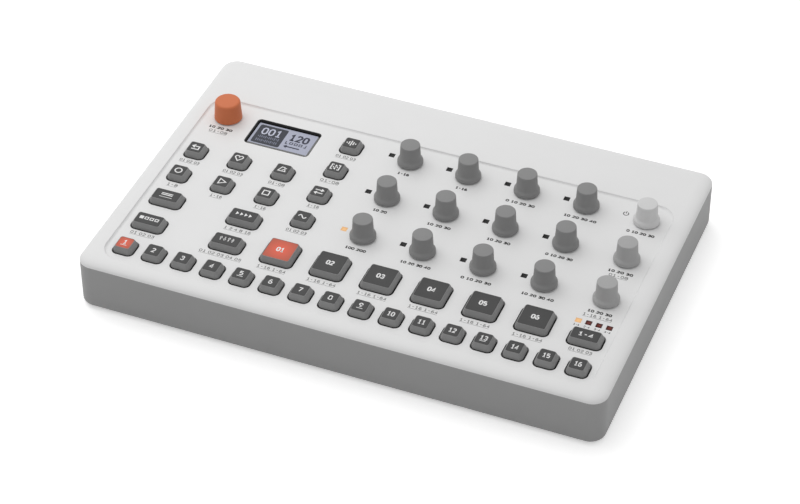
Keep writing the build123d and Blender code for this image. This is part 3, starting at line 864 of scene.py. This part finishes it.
def arrow_head(x, y, size, direction):
    """Triangle with its tip at (x, y), pointing along X."""
    tail = x - direction * size
    return [(tail, y - size * 0.8), (x, y), (tail, y + size * 0.8)]


# Signs on the keys, drawn from the middle of the key


def draw_return(legend):
    """Arrow that turns back."""
    legend.line([(-1.9, -1.5), (1.9, -1.5), (1.9, 0.8), (-0.8, 0.8)], 0.66)
    legend.fill(arrow_head(-2.4, 0.8, 1.9, -1))


def draw_save(legend):
    """Heart."""
    left = arc((-1.05, 0.8), 1.05, 215, 0, 8)
    right = arc((1.05, 0.8), 1.05, 180, -35, 8)
    legend.line(left + right[1:] + [(0.0, -2.1)], 0.58, closed=True)


def draw_metronome(legend):
    """Tapered box with a swinging arm."""
    legend.line([(-1.9, -1.5), (1.9, -1.5), (0.7, 1.6), (-0.7, 1.6)], 0.55, closed=True)
    legend.line([(0.0, -0.9), (1.9, 1.3)], 0.5)


def draw_record(legend):
    """Ring."""
    legend.line(arc((0.0, 0.0), 1.75, 0, 345, 23), closed=True)


def draw_play(legend):
    """Triangle."""
    legend.line([(-1.55, -1.95), (2.05, 0.0), (-1.55, 1.95)], 0.54, closed=True)


def draw_stop(legend):
    """Square."""
    legend.line(square(3.2), closed=True)


def draw_pulse(legend):
    """Five bars, the tallest in the middle."""
    for place, half in enumerate((0.45, 1.2, 2.0, 1.2, 0.45)):
        x = (place - 2) * 1.15
        legend.line([(x, -half), (x, half)], 0.6)


def draw_loop(legend):
    """Two arrows that follow each other, in brackets."""
    for side in (-1, 1):
        legend.line([(1.2 * side, 1.9), (2.2 * side, 1.9), (2.2 * side, -1.9), (1.2 * side, -1.9)], 0.58)
    for side in (-1, 1):
        legend.line(arc((0.0, 0.0), 1.1, 60 + 90 * side, 120 + 90 * side, 6), 0.5)
        legend.fill(arrow_head(0.9 * side, 1.1 * side, 1.2, side))


def draw_swap(legend):
    """Arrows to either side."""
    for side in (-1, 1):
        legend.line([(-2.3 * side, 1.15 * side), (1.0 * side, 1.15 * side)], 0.6)
        legend.fill(arrow_head(2.5 * side, 1.15 * side, 1.6, side))


def draw_wave(legend):
    """One wave."""
    steps = 20
    path = []
    for step in range(steps + 1):
        share = step / steps
        path.append((-2.1 + 4.2 * share, 1.1 * math.sin(2 * math.pi * share)))
    legend.line(path, 0.6)


def draw_function(legend):
    """Two thick lines over a thin one."""
    for row in (1.25, 0.15):
        legend.line([(-3.0, row), (3.0, row)], 0.6)
    legend.line([(-3.4, -1.6), (3.4, -1.6)], 0.3)


def draw_repeat(legend):
    """Four arrow heads."""
    for place in range(4):
        x = (place - 1.5) * 2.3
        legend.fill(arrow_head(x + 0.8, 0.5, 1.5, 1))


def draw_pattern(legend):
    """Four boxes, the first one filled."""
    for place in range(4):
        x = (place - 1.5) * 2.7
        if place == 0:
            legend.fill(square(2.1, x, 0.5))
        else:
            legend.line(square(1.6, x, 0.5), 0.5, closed=True)


def draw_track(legend):
    """Four sliders."""
    for place, slide in enumerate((0.5, -0.5, 0.9, 0.1)):
        x = (place - 1.5) * 2.1
        legend.line([(x, -0.9), (x, 1.9)], 0.4)
        legend.fill(square(1.1, x, 0.5 + slide))


def draw_page(legend):
    """Number of the first and the last page."""
    legend.figures("1-4", 2.7, 0.6, 7.4)


key_drawings = {
    "return_key": draw_return,
    "save_key": draw_save,
    "metronome_key": draw_metronome,
    "record_key": draw_record,
    "play_key": draw_play,
    "stop_key": draw_stop,
    "pulse_key": draw_pulse,
    "loop_key": draw_loop,
    "swap_key": draw_swap,
    "wave_key": draw_wave,
    "function_key": draw_function,
    "repeat_key": draw_repeat,
    "pattern_key": draw_pattern,
    "track_key": draw_track,
    "page_key": draw_page,
}

for node in step_keys + pads + list(key_drawings):
    make_key_cap(node)
    # Each key also gets a dark sleeve that paints the shade in the gap round it
    make_shade_boot(node)
for number, node in enumerate(step_keys):
    legend = Legend(node)
    beat = number % BEAT_STEPS == 0
    text = str(number + 1)
    length = STEP_FIGURE_LENGTHS[len(text) - 1]
    legend.figures(text, STEP_FIGURE_HEIGHT, STEP_FIGURE_WEIGHT, length, BEAT_FIGURE_RISE if beat else 0.0)
    if beat:
        legend.line(BEAT_LINE, BEAT_LINE_WEIGHT)
    legend.done()
for number, node in enumerate(pads):
    legend = Legend(node)
    legend.figures(f"0{number + 1}", PAD_FIGURE_HEIGHT, PAD_FIGURE_WEIGHT, PAD_FIGURE_LENGTH)
    legend.done()
for node, draw in key_drawings.items():
    legend = Legend(node)
    draw(legend)
    legend.done()


# Knobs


def flare(low_point, high_point):
    """Curve from an upright skirt into a nearly upright barrel."""
    low_handle = (low_point[0], KNOB_FLARE_LOW)
    high_handle = (high_point[0] + KNOB_FLARE_LEAN, KNOB_FLARE_HIGH)
    handles = [low_point, low_handle, high_handle, high_point]
    points = []
    for step in range(1, FLARE_STEPS):
        t = step / FLARE_STEPS
        weights = ((1 - t) ** 3, 3 * t * (1 - t) ** 2, 3 * t * t * (1 - t), t ** 3)
        points.append(tuple(sum(w * h[axis] for w, h in zip(weights, handles)) for axis in (0, 1)))
    return points


def crown(radius, height, edge):
    """Rounded edge between a barrel and its flat top."""
    return arc((radius - edge, height - edge), edge, 0, 90, CROWN_STEPS)


def make_knob(node, slot):
    """Turned knob on its shaft: a flared one, or the plain data knob."""
    low, high = node_box(node)
    x, y = node_middle(node)
    base_radius = (high.x - low.x) / 2
    height = high.z - panel_z
    profile = [
        (SHAFT_RADIUS, low.z - panel_z),
        (SHAFT_RADIUS, KNOB_GAP),
        (base_radius - KNOB_FOOT_EDGE, KNOB_GAP),
        (base_radius, KNOB_GAP + KNOB_FOOT_EDGE),
    ]
    if node == "data_knob":
        profile += crown(DATA_KNOB_TOP_RADIUS, height, DATA_KNOB_TOP_EDGE)
    else:
        skirt = (base_radius, KNOB_SKIRT_HEIGHT)
        neck = (KNOB_NECK_RADIUS, KNOB_NECK_HEIGHT)
        profile += [skirt] + flare(skirt, neck) + [neck] + crown(KNOB_TOP_RADIUS, height, KNOB_TOP_EDGE)
    knob = Shape()
    knob.loft(turned([(radius, panel_z + rise) for radius, rise in profile], x, y))
    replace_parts(knob.add(node + "_turning", knob_finishes[slot], node, slot), node)


for node in parameter_knobs:
    make_knob(node, "knob_dark")
make_knob("effect_knob_1", "knob_mid")
make_knob("effect_knob_2", "knob_mid")
make_knob("volume_knob", "knob_light")
make_knob("data_knob", "knob_orange")


# Indicator lights


def make_light(name, x, y, material):
    """Light window, flush with the panel and a little dished."""
    light = Shape()
    light.loft([
        rounded_loop(LIGHT_WIDTH + grow, LIGHT_WIDTH + grow, LIGHT_RADIUS, x, y, panel_z - depth)
        for grow, depth in LIGHT_PROFILE
    ])
    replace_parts(light.add(name, material, "case", "indicator"), "indicator_lights")


for node in parameter_knobs:
    knob_x, knob_y = node_middle(node)
    material = light_amber if node == "parameter_knob_31" else light_off
    make_light(node + "_light", knob_x + LIGHT_OFFSET[0], knob_y + LIGHT_OFFSET[1], material)
page_x, page_y = node_middle("page_key")
page_lights = []
for number in range(PAGE_LIGHTS):
    x = page_x + PAGE_LIGHT_PITCH * (number - (PAGE_LIGHTS - 1) / 2)
    page_lights.append((x, page_y + PAGE_LIGHT_RISE))
    make_light(f"page_light_{number + 1}", *page_lights[-1], light_standby if number else light_amber)


# Display

display_x, display_y = node_middle("display_module")
glass_z = node_box("display_module")[1].z


def display_piece(name, shape, material):
    """A piece of the display, standing for the display's CAD node."""
    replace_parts(shape.add(name, material, "case", "display"), "display_module")


def display_layer(number):
    """Lower and upper level of a thin layer on the glass."""
    return glass_z + DISPLAY_LAYER * (number - 1), glass_z + DISPLAY_LAYER * number


def on_display(points, x=0.0, y=0.0):
    """Points about (x, y), which is given from the middle of the display."""
    return [(display_x + x + px, display_y + y + py) for px, py in points]


def display_box(size, radius, middle):
    """Rounded outline on the display."""
    return rounded_outline(*size, radius, display_x + middle[0], display_y + middle[1])


def display_figures(shape, text, middle, weight, layer):
    """Large numerals on the display."""
    x = display_x + middle[0]
    y = display_y + middle[1]
    write_line(shape, text, x, y, FIGURE_HEIGHT, weight, *display_layer(layer), FIGURE_WIDTH)


glass = Shape()
glass.slab(display_box(DISPLAY_SIZE, DISPLAY_RADIUS, (0.0, 0.0)), glass_z - DISPLAY_GLASS, glass_z)
display_piece("display_glass", glass, display_black)

liner = Shape()
liner_top = panel_z - DISPLAY_LINER_SINK
liner_inner = -2 * DISPLAY_LINER
liner_loops = []
for grow, z in ((0.0, glass_z), (0.0, liner_top), (liner_inner, liner_top), (liner_inner, glass_z)):
    length, width = (side - 2 * DISPLAY_LINER_GAP + grow for side in DISPLAY_SIZE)
    liner_loops.append(rounded_loop(length, width, DISPLAY_RADIUS + grow / 2, display_x, display_y, z))
liner.loft(liner_loops + liner_loops[:1], closed_ends=False)
display_piece("display_liner", liner, liner_grey)

field = Shape()
field.slab(display_box(FIELD_SIZE, FIELD_RADIUS, FIELD_MIDDLE), *display_layer(1))
display_piece("display_field", field, display_light)

block = Shape()
block.slab(display_box(BLOCK_SIZE, BLOCK_RADIUS, BLOCK_MIDDLE), *display_layer(2))
display_piece("display_block", block, display_dark)

bright = Shape()
display_figures(bright, "001", LEFT_FIGURES, LEFT_FIGURE_WEIGHT, 3)
display_piece("display_figures_bright", bright, display_mark)

faint = Shape()
for column in range(BARS):
    for row_y, phase in BAR_ROWS:
        half = BAR_HALF + BAR_SWING * abs(math.sin(BAR_RHYTHM * column + phase))
        bar = on_display([(0.0, -half), (0.0, half)], BARS_LEFT + column, row_y)
        faint.stroke(bar, BAR_WEIGHT, *display_layer(3))
display_piece("display_bars_faint", faint, display_faint)

dark = Shape()
dark_x = RIGHT_FIGURES[0]
dark_layer = display_layer(2)
display_figures(dark, "120", RIGHT_FIGURES, RIGHT_FIGURE_WEIGHT, 2)
for side in (-1, 1):
    bracket = [(0.0, BRACKET_TOP), (0.0, BRACKET_FOOT), (-BRACKET_TOE * side, BRACKET_FOOT)]
    dark.stroke(on_display(bracket, dark_x + BRACKET_REACH * side), BRACKET_WEIGHT, *dark_layer)
for place in range(BOXES):
    box_x = dark_x + BOX_PITCH * (place - (BOXES - 1) / 2)
    dark.stroke(on_display(square(BOX_SIDE), box_x, BOX_RISE), BOX_WEIGHT, *dark_layer, closed=True)
dark.slab(on_display(arrow_head(0.0, 0.0, SLIDER_HEAD, -1), *SLIDER_PLACE), *dark_layer)
dark.stroke(on_display([(x, 0.0) for x in SLIDER_LINE], *SLIDER_PLACE), SLIDER_WEIGHT, *dark_layer)
display_piece("display_figures_dark", dark, display_ink)


# Printing on the panel

# Lines of numerals to choose from by their length
SCALES = (
    "1-16", "10 20", "0-127", "100 200", "10 20 30", "0 10 20 30", "10 20 30 40", "100 200 300",
)
COUNTS = (
    "1-8", "1-16", "01-08", "01-64", "01 02 03", "1 2 4 8 16", "1-16 1-64", "01 02 03 04",
    "01 02 03 04 05", "01 02 03 04 05 06",
)
knob_caption_lengths = dict(zip(
    parameter_knobs, (6.3, 6.3, 15.2, 17.0, 7.5, 12.5, 12.3, 14.0, 11.0, 15.8, 15.5, 16.5)
))
knob_caption_lengths.update(volume_knob=14.3, effect_knob_1=12.8, effect_knob_2=12.3, data_knob=13.2)
second_line_lengths = {"data_knob": 10.0, "effect_knob_1": 9.6, "effect_knob_2": 14.6}
key_caption_lengths = {
    "return_key": 10.8, "save_key": 10.8, "metronome_key": 8.7, "record_key": 5.7, "play_key": 6.5,
    "stop_key": 6.2, "pulse_key": 10.8, "loop_key": 10.0, "swap_key": 6.2, "wave_key": 10.8,
    "repeat_key": 14.2, "pattern_key": 12.8, "track_key": 22.3, "page_key": 11.5,
}
print_levels = (panel_z, panel_z + PRINT_INK)
dark_print = Shape()
grey_print = Shape()


def grey_caption(x, y, length):
    """Grey numerals over a fine line."""
    text = best_line(COUNTS, length, CAPTION_HEIGHT)
    write_line(grey_print, text, x, y, CAPTION_HEIGHT, GREY_CAPTION_WEIGHT, *print_levels, length)
    line_y = y - UNDERLINE_DROP
    grey_print.stroke([(x - length / 2, line_y), (x + length / 2, line_y)], UNDERLINE_WEIGHT, *print_levels)


for node, length in knob_caption_lengths.items():
    x, y = node_middle(node)
    text = best_line(SCALES, length, CAPTION_HEIGHT)
    caption_y = y - KNOB_CAPTION_DROP
    write_line(dark_print, text, x, caption_y, CAPTION_HEIGHT, CAPTION_WEIGHT, *print_levels, length)
    if node in second_line_lengths:
        grey_caption(x, y - SECOND_LINE_DROP, second_line_lengths[node])
for node, length in key_caption_lengths.items():
    x, y = node_middle(node)
    grey_caption(x, y - KEY_CAPTION_DROP, length)
for node in pads:
    x, y = node_middle(node)
    grey_caption(x, y - PAD_CAPTION_DROP, PAD_CAPTION_LENGTH)
for number, (x, y) in enumerate(page_lights):
    write_line(
        grey_print, f"{number + 1}-{PAGE_LIGHTS}", x, y - PAGE_CAPTION_DROP,
        PAGE_CAPTION_HEIGHT, PAGE_CAPTION_WEIGHT, *print_levels, PAGE_CAPTION_LENGTH,
    )
power_mark = (
    arc(POWER_MARK, POWER_MARK_RADIUS, *POWER_MARK_ARC, POWER_MARK_STEPS),
    [(POWER_MARK[0], POWER_MARK[1] + rise) for rise in POWER_MARK_BAR],
)
for path in power_mark:
    dark_print.stroke(path, POWER_MARK_WEIGHT, *print_levels)
dark_print.add("panel_print_dark", ink_dark, "case", "cover_white")
grey_print.add("panel_print_grey", ink_grey, "case", "cover_white")


# Rear sockets

back_y = case_high.y
sockets_high = node_box("rear_sockets")[1]
board_low_z = node_box("circuit_board")[0].z


def socket_piece(name, loops, material, closed_ends=True):
    """A detail on the rear sockets."""
    shape = Shape()
    shape.loft(loops, closed_ends)
    shape.add(name, material, "case", "socket")


def tube(outer, inner, front, back):
    """Profile of a tube, closed on itself."""
    return [(outer, front), (outer, back), (inner, back), (inner, front), (outer, front)]


for mount in frame["record"]["mounts"]:
    if mount["kind"] != "bore":
        continue
    x = mount["pos_m"][0] / MM
    z = mount["pos_m"][2] / MM
    bore = mount["dims"]["r_mm"]
    outer = bore - SLEEVE_GAP
    sleeve = tube(outer, outer - SLEEVE_WALL, back_y - SLEEVE_DEPTH, back_y - SLEEVE_SINK)
    socket_piece(mount["name"] + "_sleeve", turned_back(sleeve, x, z), plate_metal, closed_ends=False)
    bush = tube(bore + BUSH_WALL, bore + BUSH_GAP, back_y - BUSH_SINK, back_y + BUSH_PROUD)
    socket_piece(mount["name"] + "_bush", turned_back(bush, x, z), plate_metal, closed_ends=False)

dc_x = sockets_high.x - DC_WIDTH / 2
dc_z = board_low_z - DC_HEIGHT / 2
pin = [(DC_PIN_RADIUS, back_y - DC_PIN_LENGTH)]
pin += [(DC_PIN_RADIUS * share, back_y - depth) for share, depth in DC_PIN_TIP]
socket_piece("power_pin", turned_back(pin, dc_x, dc_z), plate_metal)
ring_outer = DC_BORE_RADIUS + DC_RING_WALL
ring = tube(ring_outer, DC_BORE_RADIUS + BUSH_GAP, back_y - BUSH_SINK, back_y + BUSH_PROUD)
socket_piece("power_ring", turned_back(ring, dc_x, dc_z), socket_black, closed_ends=False)

usb_x = dc_x - DC_WIDTH / 2 - USB_GAP
usb_z = board_low_z - USB_SIZE[1] / 2


def usb_loop(grow, depth):
    """Rounded outline of the USB shell at a depth."""
    flat = rounded_outline(USB_SIZE[0] + grow, USB_SIZE[1] + grow, USB_RADIUS + grow / 2, usb_x, usb_z)
    return [(x, depth, z) for x, z in flat]


shell = tube(0.0, -2 * USB_SHELL, back_y - USB_SHELL_SINK, back_y + USB_SHELL_PROUD)
shell_loops = [usb_loop(grow, depth) for grow, depth in shell]
socket_piece("usb_shell_edge", shell_loops, plate_metal, closed_ends=False)
contacts = Shape()
half_x, half_z = (size / 2 for size in USB_CONTACT_SIZE)
for number in range(USB_CONTACTS):
    x = usb_x + USB_CONTACT_PITCH * (number - (USB_CONTACTS - 1) / 2)
    for side in (-1, 1):
        z = usb_z + side * USB_TONGUE / 2
        corners = ((-half_x, -half_z), (half_x, -half_z), (half_x, half_z), (-half_x, half_z))
        contacts.loft([
            [(x + across, back_y - depth, z + up) for across, up in corners] for depth in USB_CONTACT_DEPTHS
        ])
contacts.add("usb_contacts", contact_gold, "case", "socket")


# Feet and screws


def make_foot(name, x, y):
    """Rubber foot with a rounded edge and a ring groove in its sole."""
    inner, outer = FOOT_RING
    groove = [
        (inner, 0.0), (inner + FOOT_RING_SLOPE, FOOT_RING_DEPTH),
        (outer - FOOT_RING_SLOPE, FOOT_RING_DEPTH), (outer, 0.0),
    ]
    edge = arc((FOOT_RADIUS - FOOT_EDGE, FOOT_EDGE), FOOT_EDGE, -90, 0, FOOT_EDGE_STEPS)
    foot = Shape()
    foot.loft(turned([(FOOT_MIDDLE, 0.0)] + groove + edge + [(FOOT_RADIUS, FOOT_TOP)], x, y))
    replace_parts(foot.add(name, foot_black, "case", "foot_rubber"), "feet_and_screws")


def make_screw(name, x, y):
    """Low screw head with a six-sided key hole, and its shank."""
    head_low = case_low.z + SCREW_RECESS
    head_top = head_low + SCREW_HEAD_HEIGHT
    loops = [
        ring_loop(SCREW_KEY_RADIUS, x, y, head_low + SCREW_KEY_DEPTH, sides=6),
        ring_loop(SCREW_KEY_RADIUS, x, y, head_low, sides=6),
    ]
    profile = [
        (SCREW_HEAD_RADIUS - SCREW_HEAD_EDGE, head_low),
        (SCREW_HEAD_RADIUS, head_low + SCREW_HEAD_EDGE),
        (SCREW_HEAD_RADIUS, head_top),
        (SCREW_RADIUS, head_top),
        (SCREW_RADIUS, head_top + SCREW_LENGTH),
    ]
    screw = Shape()
    screw.loft(loops + turned(profile, x, y))
    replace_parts(screw.add(name, screw_steel, "case", "foot_rubber"), "feet_and_screws")


def inset_place(inset, side_x, side_y):
    """Place at an inset from the sides of the case."""
    return side_x * (case_high.x - inset[0]), side_y * (case_high.y - inset[1])


for side_x in (-1, 1):
    for side_y in (-1, 1):
        place = ("left" if side_x < 0 else "right") + ("_front" if side_y < 0 else "_back")
        make_foot("foot_" + place, *inset_place(FOOT_INSET, side_x, side_y))
for number, side_x in enumerate((-1, 0, 1)):
    for side_y in (-1, 1):
        name = f"screw_{number + 1}" + ("_front" if side_y < 0 else "_back")
        make_screw(name, *inset_place(SCREW_INSET, side_x, side_y))


# Floor, light and camera


def by_rays(tree, low, high):
    """The high number for camera, glossy and transmission rays, else the low one."""
    rays = tree.nodes.new("ShaderNodeLightPath").outputs
    level = rays["Is Camera Ray"]
    for name in ("Is Glossy Ray", "Is Transmission Ray"):
        larger = tree.nodes.new("ShaderNodeMath")
        larger.operation = "MAXIMUM"
        tree.links.new(level, larger.inputs[0])
        tree.links.new(rays[name], larger.inputs[1])
        level = larger.outputs[0]
    number = tree.nodes.new("ShaderNodeMapRange")
    number.inputs["To Min"].default_value = low
    number.inputs["To Max"].default_value = high
    tree.links.new(level, number.inputs["Value"])
    return number.outputs["Result"]


def make_floor():
    """Pale floor that keeps the shadow and shows as white."""
    half = FLOOR_SIZE / 2 * MM
    mesh = bpy.data.meshes.new("floor")
    corners = [(-half, -half, 0), (half, -half, 0), (half, half, 0), (-half, half, 0)]
    mesh.from_pydata(corners, [], [(0, 1, 2, 3)])
    material = bpy.data.materials.new("floor_white")
    material.use_nodes = True
    tree = material.node_tree
    shader = tree.nodes["Principled BSDF"]
    shader.inputs["Roughness"].default_value = FLOOR_ROUGHNESS
    shader.inputs["Specular IOR Level"].default_value = 0.0
    shader.inputs["Emission Color"].default_value = (1.0, 1.0, 1.0, 1.0)
    tree.links.new(by_rays(tree, FLOOR_COLOUR, FLOOR_SHOWN), shader.inputs["Base Color"])
    tree.links.new(by_rays(tree, 0.0, FLOOR_LIFT), shader.inputs["Emission Strength"])
    mesh.materials.append(material)
    floor = bpy.data.objects.new("floor", mesh)
    bpy.context.scene.collection.objects.link(floor)


def make_world():
    """Even white surround: dim as a light, white as a background."""
    world = bpy.data.worlds.new("surround")
    world.use_nodes = True
    tree = world.node_tree
    light = tree.nodes["Background"]
    light.inputs["Color"].default_value = (1.0, 1.0, 1.0, 1.0)
    tree.links.new(by_rays(tree, WORLD_LIGHT, 1.0), light.inputs["Strength"])
    bpy.context.scene.world = world


def aim(thing, place, target):
    """Puts an object at a place, looking at a target."""
    thing.location = Vector(place) * MM
    thing.rotation_euler = (Vector(target) - Vector(place)).to_track_quat("-Z", "Y").to_euler()
    bpy.context.scene.collection.objects.link(thing)


def make_lamp():
    """One large soft lamp above, behind and to the left."""
    lamp = bpy.data.lights.new("soft_lamp", "AREA")
    lamp.shape = "SQUARE"
    lamp.size = LAMP_SIZE * MM
    lamp.energy = LAMP_POWER
    aim(bpy.data.objects.new("soft_lamp", lamp), LAMP_PLACE, LAMP_AIM)


def make_camera():
    """The photograph's viewpoint."""
    camera = bpy.data.cameras.new("camera")
    camera.sensor_width = SENSOR_WIDTH
    camera.lens = FOCAL_PIXELS / IMAGE_WIDTH * SENSOR_WIDTH
    azimuth = math.radians(CAMERA_AZIMUTH)
    elevation = math.radians(CAMERA_ELEVATION)
    back = Vector((
        math.sin(azimuth) * math.cos(elevation),
        -math.cos(azimuth) * math.cos(elevation),
        math.sin(elevation),
    ))
    holder = bpy.data.objects.new("camera", camera)
    aim(holder, Vector(CAMERA_TARGET) + back * CAMERA_DISTANCE, CAMERA_TARGET)
    bpy.context.scene.camera = holder


make_floor()
make_world()
make_lamp()
make_camera()
bpy.context.scene.view_settings.view_transform = "Standard"

bpy.context.view_layer.update()
